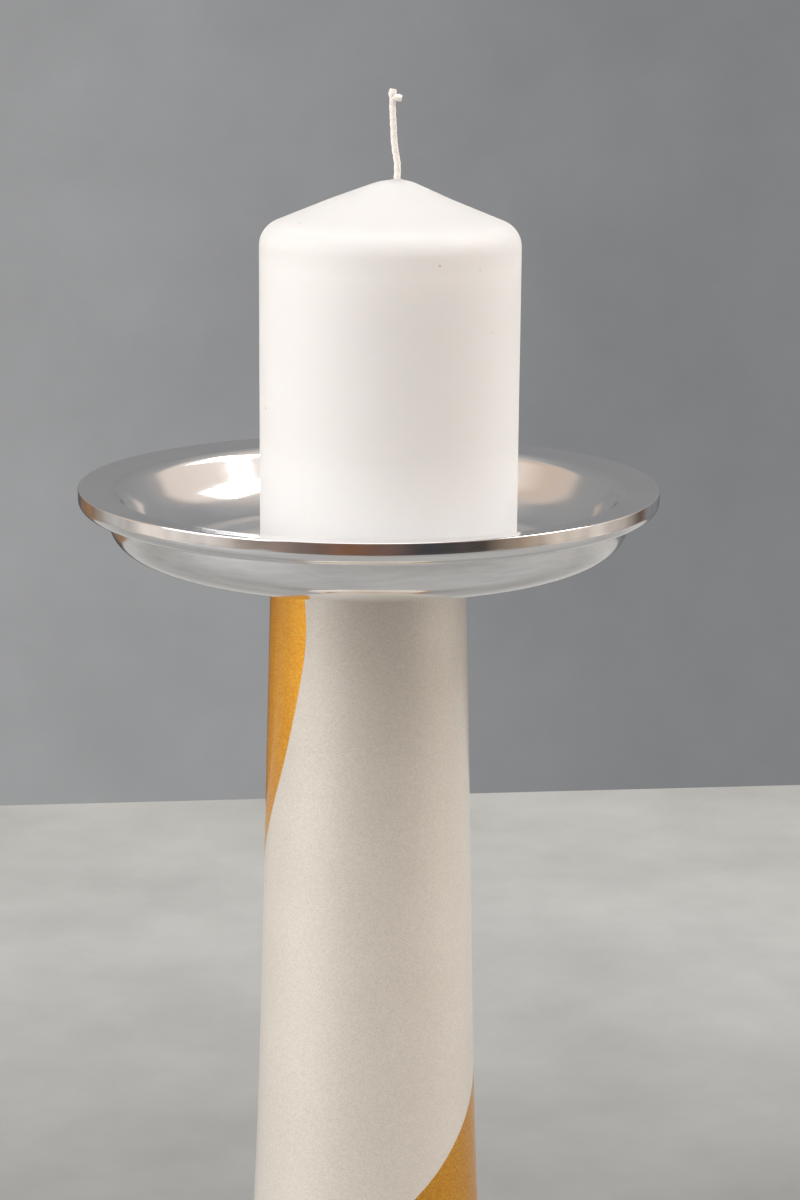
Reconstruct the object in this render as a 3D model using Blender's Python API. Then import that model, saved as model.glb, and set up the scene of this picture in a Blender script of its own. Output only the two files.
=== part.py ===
"""Altar candlestick with a pillar candle.

An enamelled trumpet stem stands on a rubber ring and carries a polished dish.  A spike in the dish
holds the candle, which lifts off.  A threaded rod runs down the stem and clamps the dish, the stem
and the weighted base together.  All sizes are in metres.  The origin lies on the table, on the
stem's axis, and +Z points up.
"""

import math

import bmesh
import bpy

# Fits and fineness
GAP = 0.0003
CHAMFER = 0.0004
SMALL_EDGE = 0.0003
CUTTER_REACH = 0.0010
WIDE_STEPS = 48
MIDDLE_STEPS = 36
SMALL_STEPS = 20
TINY_STEPS = 12
CUTTER_TURN = math.radians(3.1)

# Dish, measured from its flange's inner edge
FLANGE_Z = 0.3090
FLANGE_INNER_R = 0.0681
FLANGE_OUTER_R = 0.0765
FLANGE_RISE = 0.00095
LIP_BAND = 0.0029
LIP_DROP = 0.0068
LIP_INNER_R = 0.0690
LIP_POWER = 2.15
BOWL_FLAT_R = 0.0330
BOWL_POWER = 2.85
BOWL_LEAN = 0.06
DISH_DEPTH = 0.0196
FLOOR_THICKNESS = 0.0025
ROLL_R = 0.0044
ROLL_START = math.radians(12.5)
INSIDE_STEEP = math.radians(62)
INSIDE_WALL = 0.0062

# Stem: a slow taper and a flare that grows by a fixed ratio towards the table
STEM_FLARE_Z = 0.1110
STEM_R = 0.0305
STEM_TAPER = 0.025
FLARE_R = 0.0007
FLARE_LENGTH = 0.026
STEM_WALL = 0.0026
BASE_R = 0.0716
BASE_RIM_TOP = 0.0062
BASE_RIM_BOTTOM = 0.0015
BASE_RIM_EDGE = 0.0012
STEM_TOP_EDGE = 0.0005
RIM_BLEND = 0.0012
SEAT_LEDGE = 0.0035
STEM_STEP = 0.0030
OUTER_GROWTH = 0.20
INNER_GROWTH = 0.36

# Base: a pressed plate under a cast weight, standing on a ring
PLATE_R = 0.0672
PLATE_BOTTOM = 0.0032
PLATE_THICKNESS = 0.0030
PLATE_SEAT_R = 0.0676
CUP_R = 0.0200
CUP_TOP = 0.0180
CUP_DRAFT = 0.0020
PRESS_BEND = 0.0012
WEIGHT_HEIGHTS = (0.0100, 0.0130, 0.0170, 0.0220, 0.0285, 0.0380)
WEIGHT_WALL_GAP = 0.0012
WEIGHT_RECESS_GAP = 0.0017
WEIGHT_EDGE = 0.0012
WEIGHT_BORE_R = 0.0065
FOOT_INNER_R = 0.0570
FOOT_OUTER_R = 0.0655
FOOT_EDGE = 0.0007

# Threaded parts: an M8 tie rod and three M5 screws
ROD_R = 0.0040
ROD_BOTTOM = 0.0026
ROD_GRIP = 0.0045
NUT_FLATS = 0.0130
NUT_HEIGHT = 0.0065
NUT_BEVEL = math.radians(30)
WASHER_R = 0.0150
WASHER_THICKNESS = 0.0018
SPRING_R = 0.0070
SPRING_THICKNESS = 0.0018
SPRING_RISE = 0.0005
SPRING_OPENING = math.radians(12)
SCREW_CIRCLE_R = 0.0400
SCREW_COUNT = 3
SCREW_HEAD_R = 0.0046
SCREW_HEAD_HEIGHT = 0.0024
SCREW_SHANK_R = 0.0024
SCREW_TIP_Z = 0.0215
SCREW_TIP_TAPER = 0.0008
SCREW_HOLE_DEPTH = 0.0227
SCREW_SOCKET_R = 0.0017
SCREW_SOCKET_DEPTH = 0.0017
SCREW_SOCKET_POINT = 0.0006

# Plug at the top of the stem
PLUG_FLANGE_R = 0.02445
PLUG_FLANGE_THICKNESS = 0.0026
PLUG_HEIGHT = 0.0185
GASKET_INNER_R = 0.0060
GASKET_OUTER_R = 0.0217
GASKET_THICKNESS = 0.0006

# Spike
SPIKE_FLANGE_R = 0.0090
SPIKE_FLANGE_THICKNESS = 0.0020
SPIKE_ROOT_R = 0.0040
SPIKE_TIP_R = 0.0004
SPIKE_HEIGHT = 0.0320
SPIKE_STUD_LENGTH = 0.0130

# Candle, which stands a little to one side of the dish's centre
CANDLE_X = 0.0052
CANDLE_R = 0.0340
CANDLE_SHOULDER_Z = 0.3771
CANDLE_CONE = 0.0138
CANDLE_SHOULDER_FILLET = 0.0066
CANDLE_TIP_R = 0.0140
CANDLE_FOOT_FILLET = 0.0012
WICK_X = 0.0016
WICK_R = 0.0010
WICK_SUNK = 0.0400
WICK_BEND = (
    (0.0000, 0.0000),
    (0.0000, 0.0040),
    (-0.0007, 0.0082),
    (-0.0011, 0.0140),
    (-0.0013, 0.0185),
    (-0.0011, 0.0229),
)

DISH_BOTTOM = FLANGE_Z - DISH_DEPTH
FLOOR_Z = DISH_BOTTOM + FLOOR_THICKNESS
STEM_TOP = DISH_BOTTOM - GAP
PLATE_TOP = PLATE_BOTTOM + PLATE_THICKNESS
CUP_CEILING = CUP_TOP - PLATE_THICKNESS
CANDLE_BOTTOM = FLOOR_Z + GAP
ROD_HOLE_R = ROD_R + GAP


def clear_scene():
    for thing in list(bpy.data.objects):
        bpy.data.objects.remove(thing, do_unlink=True)


def make_material(name, colour, roughness, metallic):
    material = bpy.data.materials.new(name)
    material.use_nodes = True
    shader = material.node_tree.nodes["Principled BSDF"]
    shader.inputs["Base Color"].default_value = (*colour, 1.0)
    shader.inputs["Roughness"].default_value = roughness
    shader.inputs["Metallic"].default_value = metallic
    return material


def make_object(name, mesh, material, location=(0, 0, 0)):
    mesh.name = name
    mesh.materials.append(material)
    mesh.shade_smooth()
    mesh.set_sharp_from_angle(angle=math.radians(35))
    piece = bpy.data.objects.new(name, mesh)
    piece.location = location
    bpy.context.scene.collection.objects.link(piece)
    return piece


def turned_mesh(outline, steps):
    """Spins an outline of (radius, height) points once round Z.

    An outline that starts and ends on the axis makes a solid; any other is closed into a ring.
    """
    shape = bmesh.new()
    points = [shape.verts.new((radius, 0, height)) for radius, height in outline]
    for first, second in zip(points, points[1:]):
        shape.edges.new((first, second))
    if outline[0][0] > 0 or outline[-1][0] > 0:
        shape.edges.new((points[-1], points[0]))
    bmesh.ops.spin(
        shape,
        geom=shape.verts[:] + shape.edges[:],
        cent=(0, 0, 0),
        axis=(0, 0, 1),
        angle=2 * math.pi,
        steps=steps,
    )
    bmesh.ops.remove_doubles(shape, verts=shape.verts, dist=0.000001)
    bmesh.ops.recalc_face_normals(shape, faces=shape.faces)
    mesh = bpy.data.meshes.new("turned")
    shape.to_mesh(mesh)
    shape.free()
    return mesh


def turned(name, outline, steps, material, location=(0, 0, 0)):
    return make_object(name, turned_mesh(outline, steps), material, location)


def cutter(name, mesh, location=(0, 0, 0)):
    """A tool for a Boolean, turned a little so that its corners miss the corners of what it cuts."""
    tool = bpy.data.objects.new(name, mesh)
    tool.location = location
    tool.rotation_euler.z = CUTTER_TURN
    tool.hide_render = True
    tool.display_type = "WIRE"
    bpy.context.scene.collection.objects.link(tool)
    return tool


def cut(piece, tool, operation="DIFFERENCE"):
    modifier = piece.modifiers.new(tool.name, "BOOLEAN")
    modifier.operation = operation
    modifier.solver = "EXACT"
    modifier.object = tool


def arc(centre, radius, start, end, steps):
    """Points on an arc of a (radius, height) outline; the angles are in degrees from +radius."""
    points = []
    for step in range(steps + 1):
        angle = math.radians(start + (end - start) * step / steps)
        points.append((centre[0] + radius * math.cos(angle), centre[1] + radius * math.sin(angle)))
    return points


def full_curve(centre, width, drop, power, steps):
    """A quarter of a superellipse that runs from level with its centre down to below it."""
    points = []
    for step in range(steps + 1):
        angle = math.pi / 2 * step / steps
        across = math.cos(angle) ** (2 / power) if step < steps else 0.0
        down = math.sin(angle) ** (2 / power)
        points.append((centre[0] + width * across, centre[1] - drop * down))
    return points


def washer_outline(inner, outer, bottom, top):
    edge = CHAMFER
    return [
        (inner, bottom),
        (outer - edge, bottom),
        (outer, bottom + edge),
        (outer, top - edge),
        (outer - edge, top),
        (inner, top),
    ]


def rod_outline(radius, bottom, top):
    edge = 2 * CHAMFER
    return [
        (0, bottom),
        (radius - edge, bottom),
        (radius, bottom + edge),
        (radius, top - edge),
        (radius - edge, top),
        (0, top),
    ]


def hole(radius, bottom, top, steps=SMALL_STEPS):
    return turned_mesh([(0, bottom), (radius, bottom), (radius, top), (0, top)], steps)


def stem_radius(height):
    below = STEM_FLARE_Z - height
    return STEM_R + STEM_TAPER * below + FLARE_R * math.exp(below / FLARE_LENGTH)


def stem_slope(height):
    below = STEM_FLARE_Z - height
    return -STEM_TAPER - FLARE_R / FLARE_LENGTH * math.exp(below / FLARE_LENGTH)


def stem_inside(height):
    """The point on the stem's inner face that is one wall's thickness in from the outer face."""
    slope = stem_slope(height)
    length = math.hypot(1, slope)
    return (stem_radius(height) - STEM_WALL / length, height + STEM_WALL * slope / length)


def stem_heights(top, bottom, growth):
    """Heights from top to bottom that come closer together as the stem flares out."""
    heights = []
    height = top
    while height > bottom:
        heights.append(height)
        height -= STEM_STEP + growth * (height - bottom)
    heights.append(bottom)
    return heights


def bowl_curve(top, steps):
    """The bowl's outer side, which leans in a little more than a plain superellipse."""
    depth = top - DISH_BOTTOM
    points = []
    plain = full_curve((BOWL_FLAT_R, top), LIP_INNER_R - BOWL_FLAT_R, depth, BOWL_POWER, steps)
    for radius, height in plain:
        share = (top - height) / depth
        points.append((radius - BOWL_LEAN * depth * share * (1 - share), height))
    return points


def inside_curve(roll_steps, sweep_steps):
    """The dish's inner side: rolled over from the flange, then steep, then a wide sweep to the floor."""
    roll_x = FLANGE_INNER_R + ROLL_R * math.sin(ROLL_START)
    roll_z = FLANGE_Z - ROLL_R * math.cos(ROLL_START)
    points = []
    for step in range(roll_steps + 1):
        angle = ROLL_START + (INSIDE_STEEP - ROLL_START) * step / roll_steps
        points.append((roll_x - ROLL_R * math.sin(angle), roll_z + ROLL_R * math.cos(angle)))
    wall_x = points[-1][0] - INSIDE_WALL * math.cos(INSIDE_STEEP)
    wall_z = points[-1][1] - INSIDE_WALL * math.sin(INSIDE_STEEP)
    sweep_r = (wall_z - FLOOR_Z) / (1 - math.cos(INSIDE_STEEP))
    for step in range(sweep_steps + 1):
        angle = INSIDE_STEEP * (1 - step / sweep_steps)
        across = sweep_r * (math.sin(INSIDE_STEEP) - math.sin(angle))
        down = sweep_r * (math.cos(angle) - math.cos(INSIDE_STEEP))
        points.append((wall_x - across, wall_z - down))
    return points


def make_dish(aluminium):
    top = FLANGE_Z + FLANGE_RISE
    band_bottom = top - LIP_BAND
    lip_bottom = top - LIP_DROP
    lip_width = FLANGE_OUTER_R - LIP_INNER_R
    lip = full_curve((LIP_INNER_R, band_bottom), lip_width, band_bottom - lip_bottom, LIP_POWER, 5)
    outline = [(FLANGE_OUTER_R - SMALL_EDGE, top), (FLANGE_OUTER_R, top - SMALL_EDGE)]
    outline += lip
    outline += bowl_curve(lip_bottom, 7)[1:]
    outline += [(ROD_HOLE_R, DISH_BOTTOM), (ROD_HOLE_R, FLOOR_Z)]
    outline += reversed(inside_curve(3, 5))
    return turned("drip_dish", outline, WIDE_STEPS, aluminium)


def make_stem(enamel):
    rim_corner = (BASE_R - BASE_RIM_EDGE, BASE_RIM_TOP - BASE_RIM_EDGE)
    flare_bottom = BASE_RIM_TOP + RIM_BLEND
    outer = [(stem_radius(STEM_TOP) - STEM_TOP_EDGE, STEM_TOP)]
    heights = stem_heights(STEM_TOP - STEM_TOP_EDGE, flare_bottom, OUTER_GROWTH)
    outer += [(stem_radius(z), z) for z in heights]
    outer += arc(rim_corner, BASE_RIM_EDGE, 48, 0, 2)
    outer += [(BASE_R, BASE_RIM_BOTTOM + CHAMFER), (BASE_R - CHAMFER, BASE_RIM_BOTTOM)]
    seat_z = PLATE_TOP + GAP
    plug_seat_z = STEM_TOP - GAP - PLUG_FLANGE_THICKNESS - GAP
    inner = [stem_inside(z) for z in stem_heights(plug_seat_z, seat_z + SEAT_LEDGE, INNER_GROWTH)]
    inner = [point for point in inner if seat_z + CHAMFER < point[1] < plug_seat_z - CHAMFER]
    bore = inner[0][0]
    outline = outer
    outline += [(PLATE_SEAT_R, BASE_RIM_BOTTOM), (PLATE_SEAT_R, seat_z), (inner[-1][0], seat_z)]
    outline += reversed(inner)
    outline += [(bore, plug_seat_z), (PLUG_FLANGE_R + GAP, plug_seat_z), (PLUG_FLANGE_R + GAP, STEM_TOP)]
    return turned("stem_shell", outline, WIDE_STEPS, enamel)


def make_plug(steel):
    top = STEM_TOP - GAP
    recess = top - GASKET_THICKNESS
    flange_bottom = top - PLUG_FLANGE_THICKNESS
    body_r = stem_inside(flange_bottom)[0] - 2 * GAP
    outline = [
        (ROD_HOLE_R, top - PLUG_HEIGHT),
        (body_r - 2 * CHAMFER, top - PLUG_HEIGHT),
        (body_r, top - PLUG_HEIGHT + 2 * CHAMFER),
        (body_r, flange_bottom),
        (PLUG_FLANGE_R, flange_bottom),
        (PLUG_FLANGE_R, top),
        (GASKET_OUTER_R + GAP, top),
        (GASKET_OUTER_R + GAP, recess),
        (ROD_HOLE_R, recess),
    ]
    return turned("stem_top_plug", outline, MIDDLE_STEPS, steel)


def make_gasket(rubber):
    bottom = STEM_TOP - GASKET_THICKNESS
    outline = [
        (GASKET_INNER_R, bottom),
        (GASKET_OUTER_R, bottom),
        (GASKET_OUTER_R, STEM_TOP),
        (GASKET_INNER_R, STEM_TOP),
    ]
    return turned("dish_gasket", outline, MIDDLE_STEPS, rubber)


def make_spike(steel):
    flange_bottom = FLOOR_Z + GAP
    flange_top = flange_bottom + SPIKE_FLANGE_THICKNESS
    stud_bottom = FLOOR_Z - SPIKE_STUD_LENGTH
    tip = flange_bottom + SPIKE_HEIGHT
    outline = [
        (0, stud_bottom),
        (ROD_R - CHAMFER, stud_bottom),
        (ROD_R, stud_bottom + CHAMFER),
        (ROD_R, flange_bottom),
        (SPIKE_FLANGE_R - CHAMFER, flange_bottom),
        (SPIKE_FLANGE_R, flange_bottom + CHAMFER),
        (SPIKE_FLANGE_R, flange_top - CHAMFER),
        (SPIKE_FLANGE_R - CHAMFER, flange_top),
        (SPIKE_ROOT_R, flange_top),
        (SPIKE_TIP_R, tip - SPIKE_TIP_R),
        (0, tip),
    ]
    return turned("pricket_spike", outline, SMALL_STEPS, steel)


def make_rod(steel):
    plug_bottom = STEM_TOP - GAP - PLUG_HEIGHT
    return turned("centre_rod", rod_outline(ROD_R, ROD_BOTTOM, plug_bottom + ROD_GRIP), SMALL_STEPS, steel)


def make_nut(name, bottom, steel):
    corner_r = NUT_FLATS / 2 / math.cos(math.pi / 6)
    shape = bmesh.new()
    bmesh.ops.create_cone(
        shape, cap_ends=True, segments=6, radius1=corner_r, radius2=corner_r, depth=NUT_HEIGHT
    )
    mesh = bpy.data.meshes.new(name)
    shape.to_mesh(mesh)
    shape.free()
    middle = bottom + NUT_HEIGHT / 2
    nut = make_object(name, mesh, steel, (0, 0, middle))
    half = NUT_HEIGHT / 2
    flat_r = NUT_FLATS / 2 - SMALL_EDGE
    wide_r = corner_r + CUTTER_REACH
    drop = (wide_r - flat_r) * math.tan(NUT_BEVEL)
    rounding = [
        (0, -half - SMALL_EDGE),
        (flat_r, -half - SMALL_EDGE),
        (wide_r, drop - half - SMALL_EDGE),
        (wide_r, half + SMALL_EDGE - drop),
        (flat_r, half + SMALL_EDGE),
        (0, half + SMALL_EDGE),
    ]
    corners = cutter(name + "_corners", turned_mesh(rounding, MIDDLE_STEPS), (0, 0, middle))
    bore = cutter(name + "_bore", hole(ROD_HOLE_R, -NUT_HEIGHT, NUT_HEIGHT), (0, 0, middle))
    cut(nut, corners, "INTERSECT")
    cut(nut, bore)
    return nut


def make_spring_washer(bottom, steel):
    """A split ring whose two ends stand a little apart in height."""
    shape = bmesh.new()
    inner = ROD_HOLE_R
    outer = SPRING_R
    top = SPRING_THICKNESS - SPRING_RISE
    corners = [(inner, 0, 0), (outer, 0, 0), (outer, 0, top), (inner, 0, top)]
    face = shape.faces.new([shape.verts.new(corner) for corner in corners])
    steps = 24
    bmesh.ops.spin(
        shape,
        geom=[face] + face.edges[:] + face.verts[:],
        cent=(0, 0, 0),
        axis=(0, 0, 1),
        dvec=(0, 0, SPRING_RISE / steps),
        angle=2 * math.pi - SPRING_OPENING,
        steps=steps,
    )
    bmesh.ops.recalc_face_normals(shape, faces=shape.faces)
    mesh = bpy.data.meshes.new("spring_washer")
    shape.to_mesh(mesh)
    shape.free()
    return make_object("spring_washer", mesh, steel, (0, 0, bottom))


def screw_places():
    places = []
    for number in range(SCREW_COUNT):
        angle = math.pi / 2 + 2 * math.pi * number / SCREW_COUNT
        places.append((SCREW_CIRCLE_R * math.cos(angle), SCREW_CIRCLE_R * math.sin(angle)))
    return places


def make_screw(name, place, steel):
    length = SCREW_TIP_Z - PLATE_BOTTOM
    outline = [
        (0, 0),
        (SCREW_HEAD_R - SMALL_EDGE, 0),
        (SCREW_HEAD_R, SMALL_EDGE),
        (SCREW_SHANK_R, SCREW_HEAD_HEIGHT),
        (SCREW_SHANK_R, length - SCREW_TIP_TAPER),
        (SCREW_SHANK_R - SCREW_TIP_TAPER, length),
        (0, length),
    ]
    screw = turned(name, outline, SMALL_STEPS, steel, (place[0], place[1], PLATE_BOTTOM))
    socket = turned_mesh(
        [
            (0, -CUTTER_REACH),
            (SCREW_SOCKET_R, -CUTTER_REACH),
            (SCREW_SOCKET_R, SCREW_SOCKET_DEPTH),
            (0, SCREW_SOCKET_DEPTH + SCREW_SOCKET_POINT),
        ],
        6,
    )
    cut(screw, cutter(name + "_socket", socket, screw.location))
    return screw


def make_base_plate(black_steel):
    wall = PLATE_THICKNESS
    outline = [
        (PLATE_R - CHAMFER, PLATE_BOTTOM),
        (PLATE_R, PLATE_BOTTOM + CHAMFER),
        (PLATE_R, PLATE_TOP - CHAMFER),
        (PLATE_R - CHAMFER, PLATE_TOP),
        (CUP_R + CUP_DRAFT + wall + PRESS_BEND, PLATE_TOP),
        (CUP_R + CUP_DRAFT + wall, PLATE_TOP + PRESS_BEND),
        (CUP_R + wall, CUP_TOP - PRESS_BEND),
        (CUP_R + wall - PRESS_BEND, CUP_TOP),
        (ROD_HOLE_R, CUP_TOP),
        (ROD_HOLE_R, CUP_CEILING),
        (CUP_R - PRESS_BEND, CUP_CEILING),
        (CUP_R, CUP_CEILING - PRESS_BEND),
        (CUP_R + CUP_DRAFT, PLATE_BOTTOM + PRESS_BEND),
        (CUP_R + CUP_DRAFT + PRESS_BEND, PLATE_BOTTOM),
    ]
    plate = turned("base_plate", outline, WIDE_STEPS, black_steel)
    sink = [
        (0, -CUTTER_REACH),
        (SCREW_HEAD_R + GAP, -CUTTER_REACH),
        (SCREW_HEAD_R + GAP, GAP),
        (SCREW_SHANK_R + GAP, SCREW_HEAD_HEIGHT),
        (SCREW_SHANK_R + GAP, PLATE_THICKNESS + CUTTER_REACH),
        (0, PLATE_THICKNESS + CUTTER_REACH),
    ]
    for number, place in enumerate(screw_places(), 1):
        mesh = turned_mesh(sink, SMALL_STEPS)
        cut(plate, cutter(f"plate_sink_{number}", mesh, (place[0], place[1], PLATE_BOTTOM)))
    return plate


def make_weight(iron):
    bottom = PLATE_TOP + GAP
    recess_r = CUP_R + CUP_DRAFT + PLATE_THICKNESS + WEIGHT_RECESS_GAP
    recess_top = CUP_TOP + GAP
    flank = [(stem_inside(z)[0] - WEIGHT_WALL_GAP, stem_inside(z)[1]) for z in WEIGHT_HEIGHTS]
    outline = [(recess_r, bottom)]
    outline += [(flank[0][0] - WEIGHT_EDGE, bottom)]
    outline += flank
    outline += [
        (WEIGHT_BORE_R, flank[-1][1]),
        (WEIGHT_BORE_R, recess_top),
        (recess_r - WEIGHT_EDGE, recess_top),
        (recess_r - CHAMFER, recess_top - WEIGHT_EDGE),
    ]
    weight = turned("ballast_weight", outline, WIDE_STEPS, iron)
    for number, place in enumerate(screw_places(), 1):
        mesh = hole(SCREW_SHANK_R + GAP, bottom - CUTTER_REACH, SCREW_HOLE_DEPTH)
        cut(weight, cutter(f"weight_hole_{number}", mesh, (place[0], place[1], 0)))
    return weight


def make_foot(rubber):
    top = PLATE_BOTTOM - GAP
    outline = [
        (FOOT_INNER_R + FOOT_EDGE, 0),
        (FOOT_OUTER_R - FOOT_EDGE, 0),
        (FOOT_OUTER_R, FOOT_EDGE),
        (FOOT_OUTER_R, top),
        (FOOT_INNER_R, top),
        (FOOT_INNER_R, FOOT_EDGE),
    ]
    return turned("foot_ring", outline, WIDE_STEPS, rubber)


def candle_outline():
    """Half of the candle's outline, from the middle of its foot up to the rounded tip of its cone."""
    foot = CANDLE_FOOT_FILLET
    lean = math.degrees(math.atan2(CANDLE_CONE, CANDLE_R))
    fillet = CANDLE_SHOULDER_FILLET
    tangent = fillet * math.tan(math.radians(90 - lean) / 2)
    shoulder = (CANDLE_R - fillet, CANDLE_SHOULDER_Z - tangent)
    apex = CANDLE_SHOULDER_Z + CANDLE_CONE
    tip_z = apex - CANDLE_TIP_R / math.cos(math.radians(lean))
    outline = [(0, CANDLE_BOTTOM)]
    outline += arc((CANDLE_R - foot, CANDLE_BOTTOM + foot), foot, -90, 0, 2)
    outline += arc(shoulder, fillet, 0, 90 - lean, 5)
    outline += arc((0, tip_z), CANDLE_TIP_R, 90 - lean, 90, 3)[:-1]
    outline += [(0, tip_z + CANDLE_TIP_R)]
    return outline


def make_candle(wax):
    outline = candle_outline()
    candle = turned("candle_wax", outline, WIDE_STEPS, wax, (CANDLE_X, 0, 0))
    top = outline[-1][1]
    counterbore_top = CANDLE_BOTTOM + SPIKE_FLANGE_THICKNESS + GAP
    spike_hole = [
        (0, CANDLE_BOTTOM - CUTTER_REACH),
        (SPIKE_FLANGE_R + GAP, CANDLE_BOTTOM - CUTTER_REACH),
        (SPIKE_FLANGE_R + GAP, counterbore_top),
        (SPIKE_ROOT_R + 2 * GAP, counterbore_top),
        (SPIKE_TIP_R + 2 * GAP, CANDLE_BOTTOM + SPIKE_HEIGHT),
        (0, CANDLE_BOTTOM + SPIKE_HEIGHT + 3 * GAP),
    ]
    wick_hole = hole(WICK_R + GAP, top - WICK_SUNK - GAP, top + CUTTER_REACH, TINY_STEPS)
    cut(candle, cutter("spike_hole", turned_mesh(spike_hole, SMALL_STEPS)))
    cut(candle, cutter("wick_hole", wick_hole, (CANDLE_X + WICK_X, 0, 0)))
    return candle


def smooth_path(points, steps):
    """Points on a curve that passes through the given (sideways, height) points."""
    ends = [points[0]] + list(points) + [points[-1]]
    path = []
    for before, first, second, after in zip(ends, ends[1:], ends[2:], ends[3:]):
        for step in range(steps):
            t = step / steps
            place = []
            for a, b, c, d in zip(before, first, second, after):
                bend = (2 * a - 5 * b + 4 * c - d) * t**2 + (3 * b - a - 3 * c + d) * t**3
                place.append(0.5 * (2 * b + (c - a) * t + bend))
            path.append(tuple(place))
    path.append(points[-1])
    return path


def make_wick(cotton):
    top = candle_outline()[-1][1]
    path = [(0, -WICK_SUNK)] + smooth_path(WICK_BEND, 2)
    curve = bpy.data.curves.new("candle_wick", "CURVE")
    curve.dimensions = "3D"
    curve.bevel_depth = WICK_R
    curve.bevel_resolution = 2
    curve.use_fill_caps = True
    curve.materials.append(cotton)
    line = curve.splines.new("POLY")
    line.points.add(len(path) - 1)
    for point, (sideways, height) in zip(line.points, path):
        point.co = (sideways, 0, height, 1)
    wick = bpy.data.objects.new("candle_wick", curve)
    wick.location = (CANDLE_X + WICK_X, 0, top)
    bpy.context.scene.collection.objects.link(wick)
    return wick


def join_to_axis(pieces):
    """Parents the pieces that lift off to an empty on the axis of their slide."""
    axis = bpy.data.objects.new("candle_lift_axis", None)
    axis.location = (0, 0, CANDLE_BOTTOM)
    bpy.context.scene.collection.objects.link(axis)
    bpy.context.view_layer.update()
    for piece in pieces:
        piece.parent = axis
        piece.matrix_parent_inverse = axis.matrix_world.inverted()


def build():
    clear_scene()
    aluminium = make_material("polished_aluminium", (0.86, 0.86, 0.86), 0.12, 1.0)
    enamel = make_material("cream_enamel", (0.74, 0.69, 0.61), 0.28, 0.3)
    bright_steel = make_material("bright_steel", (0.62, 0.62, 0.63), 0.30, 1.0)
    zinc_steel = make_material("zinc_plated_steel", (0.66, 0.67, 0.68), 0.38, 1.0)
    black_steel = make_material("black_painted_steel", (0.03, 0.03, 0.03), 0.55, 0.0)
    iron = make_material("cast_iron", (0.10, 0.10, 0.11), 0.75, 0.6)
    rubber = make_material("black_rubber", (0.04, 0.04, 0.04), 0.85, 0.0)
    wax = make_material("white_wax", (0.90, 0.87, 0.83), 0.50, 0.0)
    cotton = make_material("wick_cotton", (0.88, 0.82, 0.74), 0.90, 0.0)

    make_dish(aluminium)
    make_stem(enamel)
    make_plug(zinc_steel)
    make_gasket(rubber)
    make_spike(bright_steel)
    make_rod(zinc_steel)
    make_nut("rod_lock_nut", STEM_TOP - GAP - PLUG_HEIGHT - GAP - NUT_HEIGHT, zinc_steel)
    make_weight(iron)
    make_base_plate(black_steel)
    for number, place in enumerate(screw_places(), 1):
        make_screw(f"ballast_screw_{number}", place, zinc_steel)
    washer_bottom = CUP_CEILING - GAP - WASHER_THICKNESS
    washer = washer_outline(ROD_HOLE_R, WASHER_R, washer_bottom, washer_bottom + WASHER_THICKNESS)
    turned("base_washer", washer, MIDDLE_STEPS, zinc_steel)
    spring_bottom = washer_bottom - GAP - SPRING_THICKNESS
    make_spring_washer(spring_bottom, zinc_steel)
    make_nut("base_nut", spring_bottom - GAP - NUT_HEIGHT, zinc_steel)
    make_foot(rubber)
    join_to_axis([make_candle(wax), make_wick(cotton)])


build()
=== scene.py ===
"""Looks of the altar candlestick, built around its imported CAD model.

Turned pieces are made afresh from fine outlines that take their places from the CAD solids, and
every piece gets a procedural material.  All sizes are in metres, and +Z points up.
"""

import math
import random

import bpy
import numpy as np
from mathutils import Matrix, Vector, noise


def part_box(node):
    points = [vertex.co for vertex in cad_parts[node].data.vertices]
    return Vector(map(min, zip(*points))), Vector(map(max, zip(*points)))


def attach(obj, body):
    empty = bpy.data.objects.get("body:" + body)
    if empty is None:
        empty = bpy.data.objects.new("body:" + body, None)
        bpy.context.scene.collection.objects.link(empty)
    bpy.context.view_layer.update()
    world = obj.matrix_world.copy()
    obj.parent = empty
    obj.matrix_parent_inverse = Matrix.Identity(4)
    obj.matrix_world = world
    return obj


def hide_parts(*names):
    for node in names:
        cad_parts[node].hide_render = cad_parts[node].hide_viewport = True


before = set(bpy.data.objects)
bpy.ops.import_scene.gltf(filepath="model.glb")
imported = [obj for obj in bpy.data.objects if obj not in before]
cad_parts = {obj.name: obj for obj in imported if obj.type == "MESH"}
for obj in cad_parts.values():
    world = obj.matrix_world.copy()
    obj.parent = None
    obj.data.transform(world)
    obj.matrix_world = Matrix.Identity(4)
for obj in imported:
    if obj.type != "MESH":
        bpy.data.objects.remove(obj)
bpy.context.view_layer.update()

SEED = 11
noise.seed_set(SEED)
MM = 0.001
ROUND_STEPS = 288
SMALL_STEPS = 96
SHARP = math.radians(35)
YARN_SHARP = math.radians(60)

# The CAD solids' corners that the looks are hung on
DISH_LOW, DISH_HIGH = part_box("drip_dish")
STEM_LOW, STEM_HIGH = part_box("stem_shell")
WAX_LOW, WAX_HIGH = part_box("candle_wax")
WICK_LOW, WICK_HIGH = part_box("candle_wick")
PLATE_LOW, PLATE_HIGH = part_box("base_plate")
FOOT_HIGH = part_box("foot_ring")[1]
SPIKE_LOW, SPIKE_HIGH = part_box("pricket_spike")
ROD_LOW, ROD_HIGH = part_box("centre_rod")

CANDLE_X = (WAX_LOW.x + WAX_HIGH.x) / 2
CANDLE_R = (WAX_HIGH.x - WAX_LOW.x) / 2
FLANGE_RISE = 0.95 * MM
FLANGE_Z = DISH_HIGH.z - FLANGE_RISE
GAP = 0.3 * MM


# ---------------------------------------------------------------- shapes


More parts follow.
